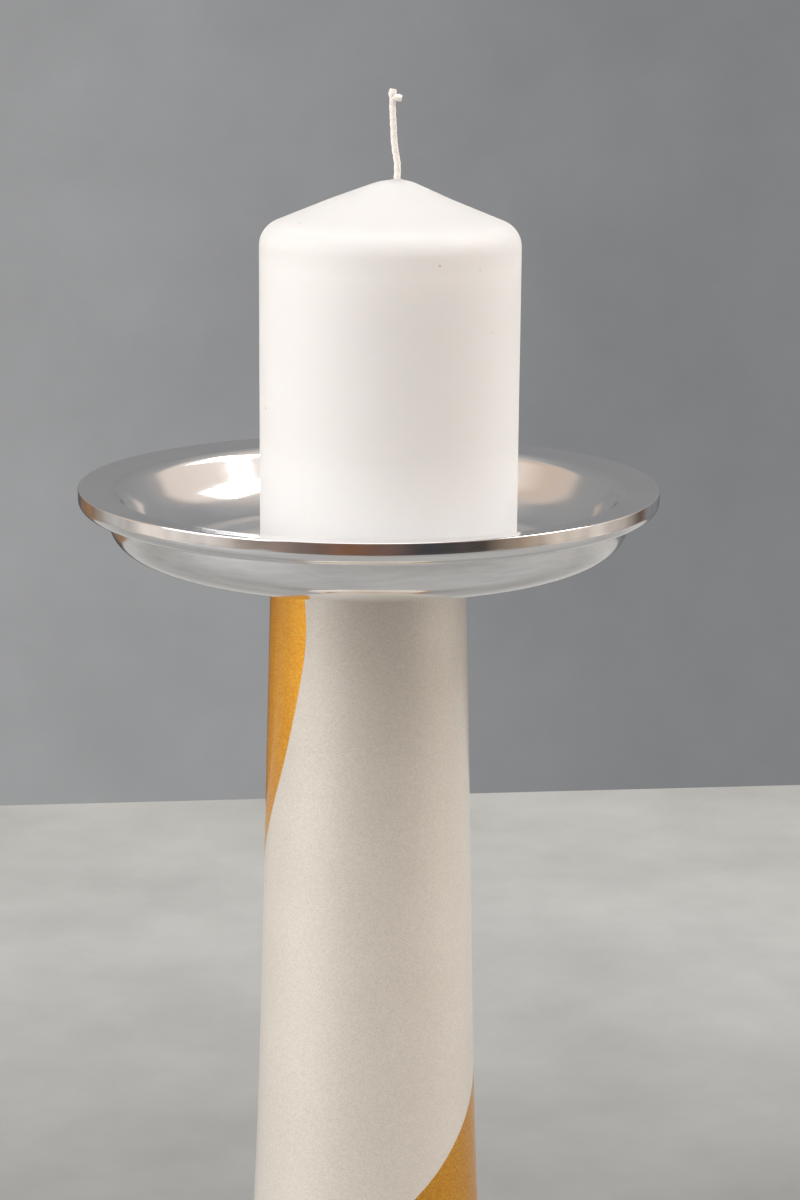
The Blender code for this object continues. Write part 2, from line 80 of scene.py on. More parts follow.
def mesh_piece(name, points, faces, sharp=SHARP):
    mesh = bpy.data.meshes.new(name)
    mesh.from_pydata([tuple(point) for point in points], [], faces)
    mesh.update()
    mesh.shade_smooth()
    mesh.set_sharp_from_angle(angle=sharp)
    piece = bpy.data.objects.new(name, mesh)
    bpy.context.scene.collection.objects.link(piece)
    return piece


def turned(name, outline, steps=ROUND_STEPS, centre=(0.0, 0.0), closed=True):
    """Turns an outline of (radius, height) points round a vertical axis.

    The outline is a list, or a function that gives a list of the same length for each angle.  A
    closed outline makes a ring and runs up its inner side and down its outer side.  An open one
    starts and ends on the axis and runs down its outer side.
    """
    angles = [2 * math.pi * step / steps for step in range(steps)]
    profiles = [outline(angle) if callable(outline) else outline for angle in angles]
    ends = (profiles[0][0], profiles[0][-1])
    if not closed:
        profiles = [profile[1:-1] for profile in profiles]
    rows = len(profiles[0])
    points = []
    for angle, profile in zip(angles, profiles):
        for radius, height in profile:
            across = radius * math.cos(angle)
            along = radius * math.sin(angle)
            points.append((centre[0] + across, centre[1] + along, height))
    faces = []
    for step in range(steps):
        here = step * rows
        beyond = (step + 1) % steps * rows
        for row in range(rows if closed else rows - 1):
            below = (row + 1) % rows
            faces.append((here + row, here + below, beyond + below, beyond + row))
        if not closed:
            top = steps * rows
            faces.append((top, here, beyond))
            faces.append((here + rows - 1, top + 1, beyond + rows - 1))
    if not closed:
        points += [(centre[0], centre[1], height) for _, height in ends]
    return mesh_piece(name, points, faces)


def arc(centre, radius, start, end, steps):
    """Points on an arc of a (radius, height) outline; the angles are in degrees from +radius."""
    points = []
    for step in range(steps + 1):
        angle = math.radians(start + (end - start) * step / steps)
        points.append((centre[0] + radius * math.cos(angle), centre[1] + radius * math.sin(angle)))
    return points


def full_curve(centre, width, drop, power, steps):
    """A quarter of a superellipse that runs from level with its centre down to below it."""
    points = []
    for step in range(steps + 1):
        angle = math.pi / 2 * step / steps
        across = math.cos(angle) ** (2 / power) if step < steps else 0.0
        down = math.sin(angle) ** (2 / power)
        points.append((centre[0] + width * across, centre[1] - drop * down))
    return points


def between(first, second, steps):
    """Points on the straight line from the first to just before the second."""
    points = []
    for step in range(steps):
        share = step / steps
        points.append(tuple(a + (b - a) * share for a, b in zip(first, second)))
    return points


def tube(name, path, radii, sides=10):
    """A closed round tube along a path of points, with a radius at each point."""
    points = []
    faces = []
    side = Vector((0, 1, 0))
    for number, (place, radius) in enumerate(zip(path, radii)):
        after = path[min(number + 1, len(path) - 1)]
        before = path[max(number - 1, 0)]
        along = (Vector(after) - Vector(before)).normalized()
        side = (side - along * side.dot(along)).normalized()
        other = along.cross(side)
        for step in range(sides):
            angle = 2 * math.pi * step / sides
            points.append(Vector(place) + radius * (math.cos(angle) * side + math.sin(angle) * other))
    for ring in range(len(path) - 1):
        for step in range(sides):
            here = ring * sides + step
            beyond = ring * sides + (step + 1) % sides
            faces.append((here, beyond, beyond + sides, here + sides))
    last = (len(path) - 1) * sides
    faces.append(tuple(reversed(range(sides))))
    faces.append(tuple(range(last, last + sides)))
    return mesh_piece(name, points, faces, YARN_SHARP)


def join(name, pieces):
    """One piece made of several, each still a closed body."""
    points = []
    faces = []
    for piece in pieces:
        offset = len(points)
        points += [vertex.co.copy() for vertex in piece.data.vertices]
        faces += [tuple(offset + corner for corner in face.vertices) for face in piece.data.polygons]
        bpy.data.objects.remove(piece)
    return mesh_piece(name, points, faces, YARN_SHARP)


def carve(piece, tools):
    """Cuts each tool out of the piece and removes the tool."""
    for tool in tools:
        modifier = piece.modifiers.new("cut", "BOOLEAN")
        modifier.operation = "DIFFERENCE"
        modifier.solver = "EXACT"
        modifier.object = tool
    graph = bpy.context.evaluated_depsgraph_get()
    cut_mesh = bpy.data.meshes.new_from_object(piece.evaluated_get(graph))
    piece.modifiers.clear()
    piece.data = cut_mesh
    for tool in tools:
        bpy.data.objects.remove(tool)


def displace(piece, shift):
    """Moves each point by shift(point), a vector."""
    for vertex in piece.data.vertices:
        vertex.co += shift(vertex.co)
    piece.data.update()


def hexagon(flats, angle):
    """The radius of a hexagon of that width across its flats, at an angle."""
    part = (angle + math.pi / 6) % (math.pi / 3) - math.pi / 6
    return flats / 2 / math.cos(part)


def thread_rows(bottom, top, per_pitch, pitch):
    count = round((top - bottom) / pitch * per_pitch)
    return [bottom + (top - bottom) * row / count for row in range(count + 1)]


def thread_radius(outer, pitch, angle, height):
    """The radius of a V-shaped screw thread with slightly flattened crests and roots."""
    phase = (height / pitch - angle / (2 * math.pi)) % 1.0
    ridge = 1 - abs(2 * phase - 1)
    return outer - 0.55 * pitch * (1 - min(1.0, max(0.0, 1.3 * ridge - 0.15)))


# ---------------------------------------------------------------- materials


class Paint:
    """Builds the nodes of a material or a world in short calls."""

    def __init__(self, owner):
        owner.use_nodes = True
        self.tree = owner.node_tree

    def add(self, kind):
        return self.tree.nodes.new("ShaderNode" + kind)

    def set(self, **values):
        """Sets sockets of the material's shader that are the same all over."""
        for name, value in values.items():
            self.tree.nodes["Principled BSDF"].inputs[name.replace("_", " ")].default_value = value

    def feed(self, socket, value):
        """Links a node's output to the socket, or sets the socket to a plain value."""
        if isinstance(value, (int, float, tuple)):
            socket.default_value = value
        else:
            self.tree.links.new(value, socket)

    def to_shader(self, name, output):
        self.feed(self.tree.nodes["Principled BSDF"].inputs[name], output)

    def place(self):
        """The point's place in the object, in metres."""
        return self.add("TexCoord").outputs["Object"]

    def stretched(self, place, scale):
        node = self.add("VectorMath")
        node.operation = "MULTIPLY"
        self.feed(node.inputs[0], place)
        self.feed(node.inputs[1], scale)
        return node.outputs[0]

    def apart(self, place):
        node = self.add("SeparateXYZ")
        self.feed(node.inputs[0], place)
        return node.outputs

    def math(self, operation, first, second=0.0, third=0.0):
        node = self.add("Math")
        node.operation = operation
        for socket, value in zip(node.inputs, (first, second, third)):
            self.feed(socket, value)
        return node.outputs[0]

    def noise(self, place, scale, detail=3.0, roughness=0.5):
        node = self.add("TexNoise")
        self.feed(node.inputs["Vector"], place)
        self.feed(node.inputs["Scale"], scale)
        self.feed(node.inputs["Detail"], detail)
        self.feed(node.inputs["Roughness"], roughness)
        return node.outputs["Fac"]

    def cells(self, place, scale, output="Color"):
        node = self.add("TexVoronoi")
        self.feed(node.inputs["Vector"], place)
        self.feed(node.inputs["Scale"], scale)
        return node.outputs[output]

    def remap(self, value, low, high, to_low, to_high, smooth=False):
        node = self.add("MapRange")
        node.interpolation_type = "SMOOTHSTEP" if smooth else "LINEAR"
        for socket, amount in zip(node.inputs, (value, low, high, to_low, to_high)):
            self.feed(socket, amount)
        return node.outputs[0]

    def blend(self, share, first, second, kind="MIX"):
        node = self.add("Mix")
        node.data_type = "RGBA"
        node.blend_type = kind
        self.feed(node.inputs["Factor"], share)
        self.feed(node.inputs[6], first)
        self.feed(node.inputs[7], second)
        return node.outputs[2]

    def lighten(self, tint, share):
        """The colour made lighter or darker by a factor."""
        node = self.add("VectorMath")
        node.operation = "SCALE"
        self.feed(node.inputs[0], tint)
        self.feed(node.inputs["Scale"], share)
        return node.outputs[0]

    def round_ramp(self, turn, stops):
        """Colours set at angles round the vertical, in degrees, for a turn that runs from 0 to 1."""
        ramp = self.add("ValToRGB")
        self.feed(ramp.inputs[0], turn)
        elements = ramp.color_ramp.elements
        elements.remove(elements[1])
        for number, (degrees, tint) in enumerate(stops):
            position = (degrees + 180) / 360
            element = elements[0] if number == 0 else elements.new(position)
            element.position = position
            element.color = colour(*tint)
        return ramp.outputs[0]

    def bump(self, height, distance, strength=1.0, under=None):
        node = self.add("Bump")
        self.feed(node.inputs["Height"], height)
        self.feed(node.inputs["Distance"], distance)
        self.feed(node.inputs["Strength"], strength)
        if under is not None:
            self.feed(node.inputs["Normal"], under)
        return node.outputs[0]


def colour(red, green, blue):
    return (red, green, blue, 1.0)


def polished_aluminium():
    """Mirror-polished spun metal: fine rings from the lathe, a faint haze and slow waves."""
    material = bpy.data.materials.new("polished_aluminium_look")
    paint = Paint(material)
    place = paint.place()
    x, y, z = paint.apart(place)
    radius = paint.math("SQRT", paint.math("ADD", paint.math("POWER", x, 2.0), paint.math("POWER", y, 2.0)))
    rings = paint.math("SINE", paint.math("MULTIPLY", paint.math("ADD", radius, z), 9000.0))
    haze = paint.noise(place, 45.0, 4.0)
    smears = paint.noise(paint.stretched(place, (1.0, 1.0, 6.0)), 160.0, 2.0)
    tone = paint.remap(haze, 0.3, 0.7, 0.0, 1.0)
    paint.to_shader("Base Color", paint.blend(tone, colour(0.86, 0.86, 0.87), colour(0.93, 0.93, 0.93)))
    rough = paint.math("MULTIPLY_ADD", smears, 0.05, paint.remap(haze, 0.3, 0.75, 0.055, 0.115))
    paint.to_shader("Roughness", rough)
    paint.set(Metallic=1.0, Anisotropic=0.25)
    waves = paint.bump(paint.noise(place, 28.0, 2.0), 0.0009, 0.35)
    fine = paint.bump(rings, 0.0000004, 1.0, waves)
    paint.to_shader("Normal", fine)
    return material


RIBBON_TOP = 275 * MM
RIBBON_SPAN = 70 * MM
RIBBON_EDGE = math.radians(-127.6)
RIBBON_SWEEP = math.radians(50)
RIBBON_POWER = 1.7
RIBBON_WIDTH = math.radians(112)
RIBBON_SWELL = math.radians(14)


def ribbon_share(paint, place):
    """1 inside the amber ribbon that winds down the stem, and 0 outside it."""
    x, y, z = paint.apart(place)
    angle = paint.math("ARCTAN2", y, x)
    fall = paint.math("ABSOLUTE", paint.math("SUBTRACT", RIBBON_TOP, z))
    bend = paint.math("POWER", paint.math("DIVIDE", fall, RIBBON_SPAN), RIBBON_POWER)
    wobble = paint.noise(place, 35.0, 1.0)
    edge = paint.math("SUBTRACT", RIBBON_EDGE, paint.math("MULTIPLY", bend, RIBBON_SWEEP))
    edge = paint.math("ADD", edge, paint.remap(wobble, 0.0, 1.0, -0.03, 0.03))
    behind = paint.math("SUBTRACT", edge, angle)
    turn = paint.math("MODULO", paint.math("ADD", behind, 20 * math.pi), 2 * math.pi)
    swell = paint.math("MULTIPLY", paint.math("SINE", paint.math("MULTIPLY", z, 34.0)), RIBBON_SWELL)
    width = paint.math("ADD", swell, RIBBON_WIDTH)
    soft = 0.006
    starts = paint.remap(turn, 0.0, soft, 0.0, 1.0, smooth=True)
    left = paint.math("SUBTRACT", width, turn)
    ends = paint.remap(left, 0.0, soft, 0.0, 1.0, smooth=True)
    return paint.math("MULTIPLY", starts, ends)


def enamel():
    """Champagne pearl enamel with an amber metallic ribbon, under one clear coat."""
    material = bpy.data.materials.new("metallic_enamel_look")
    paint = Paint(material)
    place = paint.place()
    amber = ribbon_share(paint, place)
    flakes = paint.cells(place, 3400.0)
    flake_light, flake_lean, _ = paint.apart(flakes)
    cloud = paint.noise(place, 60.0, 3.0)
    cream = paint.blend(cloud, colour(0.74, 0.69, 0.615), colour(0.80, 0.755, 0.69))
    _, _, z = paint.apart(place)
    cream_light = paint.remap(flake_light, 0.0, 1.0, 0.92, 1.07)
    # Painted shade: the cream is darker near the top of the stem, under the dish, and lighter lower down.
    cream_painted_shade = paint.remap(z, 0.19, 0.27, 1.17, 1.03)
    cream = paint.lighten(cream, paint.math("MULTIPLY", cream_light, cream_painted_shade))
    deep = colour(0.82, 0.305, 0.006)
    bright = colour(1.0, 0.57, 0.03)
    sparkle = paint.math("POWER", flake_light, 1.6)
    gold = paint.blend(sparkle, deep, bright)
    # Painted light: the amber is darker low on the stem and lighter higher up.
    gold = paint.lighten(gold, paint.remap(z, 0.16, 0.26, 0.88, 1.12))
    paint.to_shader("Base Color", paint.blend(amber, cream, gold))
    paint.to_shader("Metallic", paint.remap(amber, 0.0, 1.0, 0.30, 0.72))
    rough = paint.remap(flake_lean, 0.0, 1.0, 0.36, 0.48)
    paint.to_shader("Roughness", rough)
    grain = paint.math("MULTIPLY", flake_lean, paint.remap(amber, 0.0, 1.0, 0.35, 1.0))
    paint.to_shader("Normal", paint.bump(grain, 0.00012, 0.6))
    paint.set(Coat_Weight=0.75, Coat_Roughness=0.07, Coat_IOR=1.5)
    return material


def candle_wax():
    """White paraffin: slightly see-through, softly mottled, with tiny specks and pits."""
    material = bpy.data.materials.new("paraffin_look")
    paint = Paint(material)
    place = paint.place()
    cloud = paint.noise(place, 38.0, 4.0)
    _, _, z = paint.apart(place)
    # Painted light and shade: the wax is lighter near its foot and darker on its cone.
    wax_painted_light_at_foot = paint.remap(z, WAX_LOW.z, WAX_LOW.z + 0.030, 1.14, 1.0)
    wax_painted_shade_on_cone = paint.remap(z, WAX_HIGH.z - 0.022, WAX_HIGH.z - 0.010, 1.0, 0.80)
    base = paint.blend(cloud, colour(0.845, 0.84, 0.83), colour(0.87, 0.865, 0.86))
    base = paint.lighten(base, paint.math("MULTIPLY", wax_painted_light_at_foot, wax_painted_shade_on_cone))
    spot = paint.cells(place, 130.0, "Distance")
    chance = paint.noise(place, 300.0, 0.0)
    small = paint.math("LESS_THAN", spot, 0.05)
    speck = paint.math("MULTIPLY", small, paint.math("GREATER_THAN", chance, 0.55))
    speck_share = paint.math("MULTIPLY", speck, 0.55)
    paint.to_shader("Base Color", paint.blend(speck_share, base, colour(0.45, 0.36, 0.29)))
    paint.to_shader("Roughness", paint.remap(paint.noise(place, 150.0, 3.0), 0.3, 0.7, 0.42, 0.58))
    paint.set(Subsurface_Weight=0.8, Subsurface_Scale=0.02, Subsurface_Radius=(1.0, 0.9, 0.8))
    paint.set(Specular_IOR_Level=0.42, IOR=1.44)
    skin = paint.bump(paint.noise(place, 90.0, 5.0, 0.6), 0.0004, 0.35)
    pits = paint.bump(paint.math("SUBTRACT", 1.0, speck), 0.0002, 0.6, skin)
    paint.to_shader("Normal", pits)
    return material


def cotton():
    """Bleached cotton yarn with a trace of wax: fine fibres that run along the strands."""
    material = bpy.data.materials.new("wick_cotton_look")
    paint = Paint(material)
    place = paint.place()
    fibres = paint.noise(paint.stretched(place, (1.0, 1.0, 0.25)), 6500.0, 3.0, 0.7)
    tone = paint.remap(fibres, 0.3, 0.7, 0.0, 1.0)
    warm = paint.noise(place, 220.0, 2.0)
    pale = paint.blend(warm, colour(0.95, 0.91, 0.87), colour(0.93, 0.84, 0.76))
    paint.to_shader("Base Color", paint.blend(tone, pale, colour(0.95, 0.93, 0.90)))
    paint.to_shader("Roughness", paint.remap(fibres, 0.2, 0.8, 0.75, 0.95))
    paint.set(Sheen_Weight=0.4, Sheen_Roughness=0.5)
    paint.to_shader("Normal", paint.bump(fibres, 0.00006, 0.5))
    return material


def turned_steel():
    """Bright turned steel with the fine marks of the tool."""
    material = bpy.data.materials.new("turned_steel_look")
    paint = Paint(material)
    place = paint.place()
    _, _, z = paint.apart(place)
    marks = paint.math("SINE", paint.math("MULTIPLY", z, 22000.0))
    stain = paint.noise(place, 220.0, 4.0)
    paint.to_shader("Base Color", paint.blend(stain, colour(0.50, 0.50, 0.51), colour(0.66, 0.65, 0.64)))
    paint.to_shader("Roughness", paint.remap(stain, 0.3, 0.7, 0.20, 0.38))
    paint.set(Metallic=1.0)
    paint.to_shader("Normal", paint.bump(marks, 0.00001, 0.6))
    return material


def zinc_plate():
    """Zinc plating: a cool grey with cloudy patches and a faint yellow-blue cast."""
    material = bpy.data.materials.new("zinc_plate_look")
    paint = Paint(material)
    place = paint.place()
    cloud = paint.noise(place, 170.0, 5.0, 0.6)
    cast = paint.noise(place, 60.0, 2.0)
    grey = paint.blend(cloud, colour(0.48, 0.50, 0.52), colour(0.70, 0.71, 0.72))
    cast_share = paint.math("MULTIPLY", cast, 0.3)
    paint.to_shader("Base Color", paint.blend(cast_share, grey, colour(0.72, 0.66, 0.48)))
    paint.to_shader("Roughness", paint.remap(cloud, 0.3, 0.7, 0.26, 0.46))
    paint.set(Metallic=1.0)
    paint.to_shader("Normal", paint.bump(paint.noise(place, 2600.0, 2.0), 0.00002, 0.7))
    return material


def powder_coat():
    """Black powder coat with orange peel and a few rubbed spots."""
    material = bpy.data.materials.new("black_powder_coat_look")
    paint = Paint(material)
    place = paint.place()
    peel = paint.noise(place, 900.0, 2.0)
    rub = paint.remap(paint.noise(place, 55.0, 5.0, 0.65), 0.55, 0.75, 0.0, 1.0)
    black = paint.blend(rub, colour(0.018, 0.018, 0.019), colour(0.045, 0.044, 0.043))
    paint.to_shader("Base Color", black)
    paint.to_shader("Roughness", paint.remap(rub, 0.0, 1.0, 0.42, 0.6))
    paint.to_shader("Normal", paint.bump(peel, 0.00008, 0.7))
    return material


def cast_iron():
    """Sand-cast iron: coarse grain, dark scale and a little rust."""
    material = bpy.data.materials.new("cast_iron_look")
    paint = Paint(material)
    place = paint.place()
    grain = paint.noise(place, 1400.0, 4.0, 0.7)
    rust = paint.remap(paint.noise(place, 70.0, 5.0, 0.7), 0.58, 0.72, 0.0, 0.7)
    scale = paint.blend(grain, colour(0.035, 0.035, 0.037), colour(0.10, 0.098, 0.095))
    paint.to_shader("Base Color", paint.blend(rust, scale, colour(0.20, 0.085, 0.04)))
    paint.to_shader("Metallic", paint.remap(rust, 0.0, 0.7, 0.55, 0.1))
    paint.to_shader("Roughness", paint.remap(grain, 0.2, 0.8, 0.6, 0.85))
    paint.to_shader("Normal", paint.bump(grain, 0.0003, 0.8))
    return material


def moulded_rubber():
    """Black moulded rubber with a dusty bloom."""
    material = bpy.data.materials.new("moulded_rubber_look")
    paint = Paint(material)
    place = paint.place()
    bloom = paint.noise(place, 80.0, 5.0, 0.6)
    black = paint.blend(bloom, colour(0.020, 0.020, 0.021), colour(0.060, 0.058, 0.055))
    paint.to_shader("Base Color", black)
    paint.to_shader("Roughness", paint.remap(bloom, 0.3, 0.7, 0.72, 0.9))
    paint.set(Specular_IOR_Level=0.35)
    paint.to_shader("Normal", paint.bump(paint.noise(place, 3000.0, 2.0), 0.00003, 0.8))
    return material


def pale_floor():
    material = bpy.data.materials.new("pale_floor_look")
    paint = Paint(material)
    place = paint.place()
    cloud = paint.noise(place, 8.0, 7.0, 0.64)
    _, y, _ = paint.apart(place)
    # Painted shade and light: the table is darker near the front and lighter towards its far edge.
    painted_light_far = paint.remap(y, 0.18, 0.60, 0.0, 1.0, smooth=True)
    table_tone_and_painted_light = paint.blend(painted_light_far, colour(0.340, 0.346, 0.346), colour(0.555, 0.572, 0.566))
    paint.to_shader("Base Color", paint.lighten(table_tone_and_painted_light, paint.remap(cloud, 0.3, 0.7, 0.87, 1.13)))
    paint.set(Roughness=0.55, Specular_IOR_Level=0.3)
    return material


# ---------------------------------------------------------------- dish and stem

FLANGE_INNER_R = 68.1 * MM
LIP_INNER_R = 69.0 * MM
BOWL_FLAT_R = 33.0 * MM
ROLL_R = 4.4 * MM
ROLL_START = math.radians(12.5)
ROLL_STEPS = 16
INSIDE_STEEP = math.radians(62)
INSIDE_WALL = 6.2 * MM
SWEEP_STEPS = 32
FLOOR_THICKNESS = 2.5 * MM
ROD_HOLE_R = 4.3 * MM
FLOOR_Z = DISH_LOW.z + FLOOR_THICKNESS
DISH_EDGE = 0.35 * MM
LIP_BAND = 2.9 * MM
LIP_DROP = 6.8 * MM
LIP_POWER = 2.15
BOWL_POWER = 2.85
BOWL_LEAN = 0.11
SEAM_DEPTH = 0.30 * MM
SEAM_HEIGHT = 0.22 * MM


def bowl_curve(top, bottom, steps):
    """The bowl's outer side: nearly upright under the lip, and flat by the time it nears the stem."""
    depth = top - bottom
    points = full_curve((BOWL_FLAT_R, top), LIP_INNER_R - BOWL_FLAT_R, depth, BOWL_POWER, steps)
    leaned = []
    for radius, height in points:
        share = (top - height) / depth
        leaned.append((radius - BOWL_LEAN * depth * share * (1 - share), height))
    return leaned


def inside_curve():
    """The dish's inner side: rolled over from the flange, steep, then a wide sweep to the floor."""
    roll_x = FLANGE_INNER_R + ROLL_R * math.sin(ROLL_START)
    roll_z = FLANGE_Z - ROLL_R * math.cos(ROLL_START)
    points = []
    for step in range(ROLL_STEPS + 1):
        angle = ROLL_START + (INSIDE_STEEP - ROLL_START) * step / ROLL_STEPS
        points.append((roll_x - ROLL_R * math.sin(angle), roll_z + ROLL_R * math.cos(angle)))
    foot = points[-1]
    wall_x = foot[0] - INSIDE_WALL * math.cos(INSIDE_STEEP)
    wall_z = foot[1] - INSIDE_WALL * math.sin(INSIDE_STEEP)
    points += between(foot, (wall_x, wall_z), 8)[1:]
    sweep_r = (wall_z - FLOOR_Z) / (1 - math.cos(INSIDE_STEEP))
    for step in range(SWEEP_STEPS + 1):
        angle = INSIDE_STEEP * (1 - step / SWEEP_STEPS)
        across = sweep_r * (math.sin(INSIDE_STEEP) - math.sin(angle))
        down = sweep_r * (math.cos(angle) - math.cos(INSIDE_STEEP))
        points.append((wall_x - across, wall_z - down))
    return points


def make_dish():
    outer_r = DISH_HIGH.x
    edge_centre = (outer_r - DISH_EDGE, DISH_HIGH.z - DISH_EDGE)
    edge = arc(edge_centre, DISH_EDGE, 84, 2, 6)
    band_bottom = DISH_HIGH.z - LIP_BAND
    lip_bottom = DISH_HIGH.z - LIP_DROP
    lip_width = outer_r - LIP_INNER_R
    lip = full_curve((LIP_INNER_R, band_bottom), lip_width, band_bottom - lip_bottom, LIP_POWER, 28)
    bowl = bowl_curve(lip_bottom, DISH_LOW.z, 48)
    inside = inside_curve()
    outline = between((FLANGE_INNER_R + 0.3 * MM, FLANGE_Z + 0.02 * MM), edge[0], 8)
    outline += edge
    outline += between((outer_r, edge_centre[1] - 0.2 * MM), (outer_r, band_bottom), 4)
    outline += lip
    groove_r = LIP_INNER_R - SEAM_DEPTH
    outline += [(groove_r, lip_bottom), (groove_r, lip_bottom - SEAM_HEIGHT)]
    outline += [(LIP_INNER_R - 0.05 * MM, lip_bottom - SEAM_HEIGHT - 0.02 * MM)]
    outline += [point for point in bowl if point[1] < lip_bottom - 2 * SEAM_HEIGHT]
    outline += between((BOWL_FLAT_R - 1 * MM, DISH_LOW.z), (ROD_HOLE_R, DISH_LOW.z), 8)
    outline += [(ROD_HOLE_R, DISH_LOW.z), (ROD_HOLE_R, FLOOR_Z)]
    outline += between((ROD_HOLE_R + 1 * MM, FLOOR_Z), (inside[-1][0] - 1 * MM, FLOOR_Z), 8)
    outline += reversed(inside)
    return turned("dish_body", list(reversed(outline)))


STEM_FLARE_Z = 111.0 * MM
STEM_R = 30.5 * MM
STEM_TAPER = 0.025
FLARE_R = 0.7 * MM
FLARE_LENGTH = 26.0 * MM
STEM_WALL = 2.6 * MM
STEM_TOP_EDGE = 0.5 * MM
RIM_EDGE = 1.2 * MM
RIM_TOP = 6.2 * MM
PLATE_SEAT_R = 67.6 * MM
PLUG_SEAT_R = 24.75 * MM
PLUG_SEAT_DEPTH = 3.2 * MM


def stem_radius(height):
    below = STEM_FLARE_Z - height
    return STEM_R + STEM_TAPER * below + FLARE_R * math.exp(below / FLARE_LENGTH)


def stem_inside(height):
    slope = -STEM_TAPER - FLARE_R / FLARE_LENGTH * math.exp((STEM_FLARE_Z - height) / FLARE_LENGTH)
    length = math.hypot(1, slope)
    return (stem_radius(height) - STEM_WALL / length, height + STEM_WALL * slope / length)


def heights_down(top, bottom, count):
    """Heights from top to bottom, closer together towards the bottom."""
    return [bottom + (top - bottom) * (1 - step / count) ** 1.5 for step in range(count + 1)]


def make_stem():
    base_r = STEM_HIGH.x
    top = STEM_HIGH.z
    rim_centre = (base_r - RIM_EDGE, RIM_TOP - RIM_EDGE)
    seat_z = PLATE_HIGH.z - 11.8 * MM + GAP
    plug_seat_z = top - PLUG_SEAT_DEPTH - 2 * GAP
    top_corner = (stem_radius(top) - STEM_TOP_EDGE, top - STEM_TOP_EDGE)
    outer = arc(top_corner, STEM_TOP_EDGE, 90, 8, 4)
    outer += [(stem_radius(z), z) for z in heights_down(top - STEM_TOP_EDGE, RIM_TOP + 1.2 * MM, 120)]
    outer += arc(rim_centre, RIM_EDGE, 50, 0, 8)
    outer += arc((base_r - 0.5 * MM, STEM_LOW.z + 0.5 * MM), 0.5 * MM, 0, -90, 4)
    inner = [stem_inside(z) for z in heights_down(plug_seat_z, seat_z + 3.5 * MM, 50)]
    inner = [point for point in inner if seat_z + 0.4 * MM < point[1] < plug_seat_z - 0.4 * MM]
    outline = outer
    outline += [(PLATE_SEAT_R, STEM_LOW.z), (PLATE_SEAT_R, seat_z), (inner[-1][0], seat_z)]
    outline += reversed(inner)
    outline += [(inner[0][0], plug_seat_z), (PLUG_SEAT_R, plug_seat_z), (PLUG_SEAT_R, top)]
    return turned("stem_body", list(reversed(outline)))


# ---------------------------------------------------------------- candle

CONE_HEIGHT = 13.8 * MM
SHOULDER_FILLET = 6.6 * MM
TIP_R = 14.0 * MM
FOOT_FILLET = 1.2 * MM
WICK_R = 1.0 * MM
WICK_PLACE = Vector((WICK_HIGH.x - WICK_R, 0, WAX_HIGH.z))
WICK_BEND = (
    (0.0, 0.0),
    (0.0, 4.0 * MM),
    (-0.7 * MM, 8.2 * MM),
    (-1.1 * MM, 14.0 * MM),
    (-1.3 * MM, 18.5 * MM),
    (-1.1 * MM, 22.9 * MM),
)


def candle_outline():
    """Half of the candle's outline, from the tip of its cone down to the middle of its foot."""
    lean = math.degrees(math.atan2(CONE_HEIGHT, CANDLE_R))
    tip_centre = WAX_HIGH.z - TIP_R
    apex = tip_centre + TIP_R / math.cos(math.radians(lean))
    tangent = SHOULDER_FILLET * math.tan(math.radians(90 - lean) / 2)
    shoulder = (CANDLE_R - SHOULDER_FILLET, apex - CONE_HEIGHT - tangent)
    tip = arc((0, tip_centre), TIP_R, 90, 90 - lean, 12)
    fillet = arc(shoulder, SHOULDER_FILLET, 90 - lean, 0, 18)
    foot = arc((CANDLE_R - FOOT_FILLET, WAX_LOW.z + FOOT_FILLET), FOOT_FILLET, 0, -90, 6)
    outline = [(0.0, WAX_HIGH.z)] + tip[1:-1]
    outline += between(tip[-1], fillet[0], 24)
    outline += fillet[:-1]
    outline += between(fillet[-1], foot[0], 60)
    outline += foot
    outline += between((CANDLE_R - 2 * MM, WAX_LOW.z), (1 * MM, WAX_LOW.z), 12)
    outline += [(0.0, WAX_LOW.z)]
    return outline


def wax_shift(point):
    """The tip drawn towards the wick, a collar of wax round it, and the slight waves of a casting."""
    across = Vector((point.x - CANDLE_X, point.y))
    height_share = max(0.0, 1 - across.length / (16 * MM))
    on_top = 1.0 if point.z > WAX_HIGH.z - 8 * MM else 0.0
    lean = on_top * height_share * (WICK_PLACE.x - CANDLE_X)
    from_wick = math.hypot(point.x + lean - WICK_PLACE.x, point.y)
    collar = on_top * 0.7 * MM * math.exp(-((from_wick / (1.5 * MM)) ** 2))
    wave = noise.noise(point * 30) * 0.10 * MM + noise.noise(point * 90) * 0.03 * MM
    out = Vector((across.x, across.y, 0)).normalized() * wave if across.length > 1 * MM else Vector()
    return Vector((lean, 0, collar - 0.7 * MM * on_top * height_share**6)) + out


def make_candle():
    candle = turned("candle_body", candle_outline(), centre=(CANDLE_X, 0.0), closed=False)
    displace(candle, wax_shift)
    flange_r = SPIKE_HIGH.x + GAP
    spike_top = SPIKE_HIGH.z + GAP
    flange_top = WAX_LOW.z + 2.3 * MM
    profile = [
        (0.0, spike_top + 0.6 * MM),
        (1.0 * MM, spike_top),
        (4.6 * MM, flange_top),
        (flange_r, flange_top),
        (flange_r, WAX_LOW.z - 1 * MM),
        (0.0, WAX_LOW.z - 1 * MM),
    ]
    spike_hole = turned("spike_hole", profile, SMALL_STEPS - 1, closed=False)
    above = WAX_HIGH.z + 3 * MM
    below = WICK_LOW.z - GAP
    profile = [(0.0, above), (WICK_R, above), (WICK_R, below), (0.0, below)]
    wick_hole = turned("wick_hole", profile, 37, (WICK_PLACE.x, 0.0), closed=False)
    carve(candle, [spike_hole, wick_hole])
    return candle


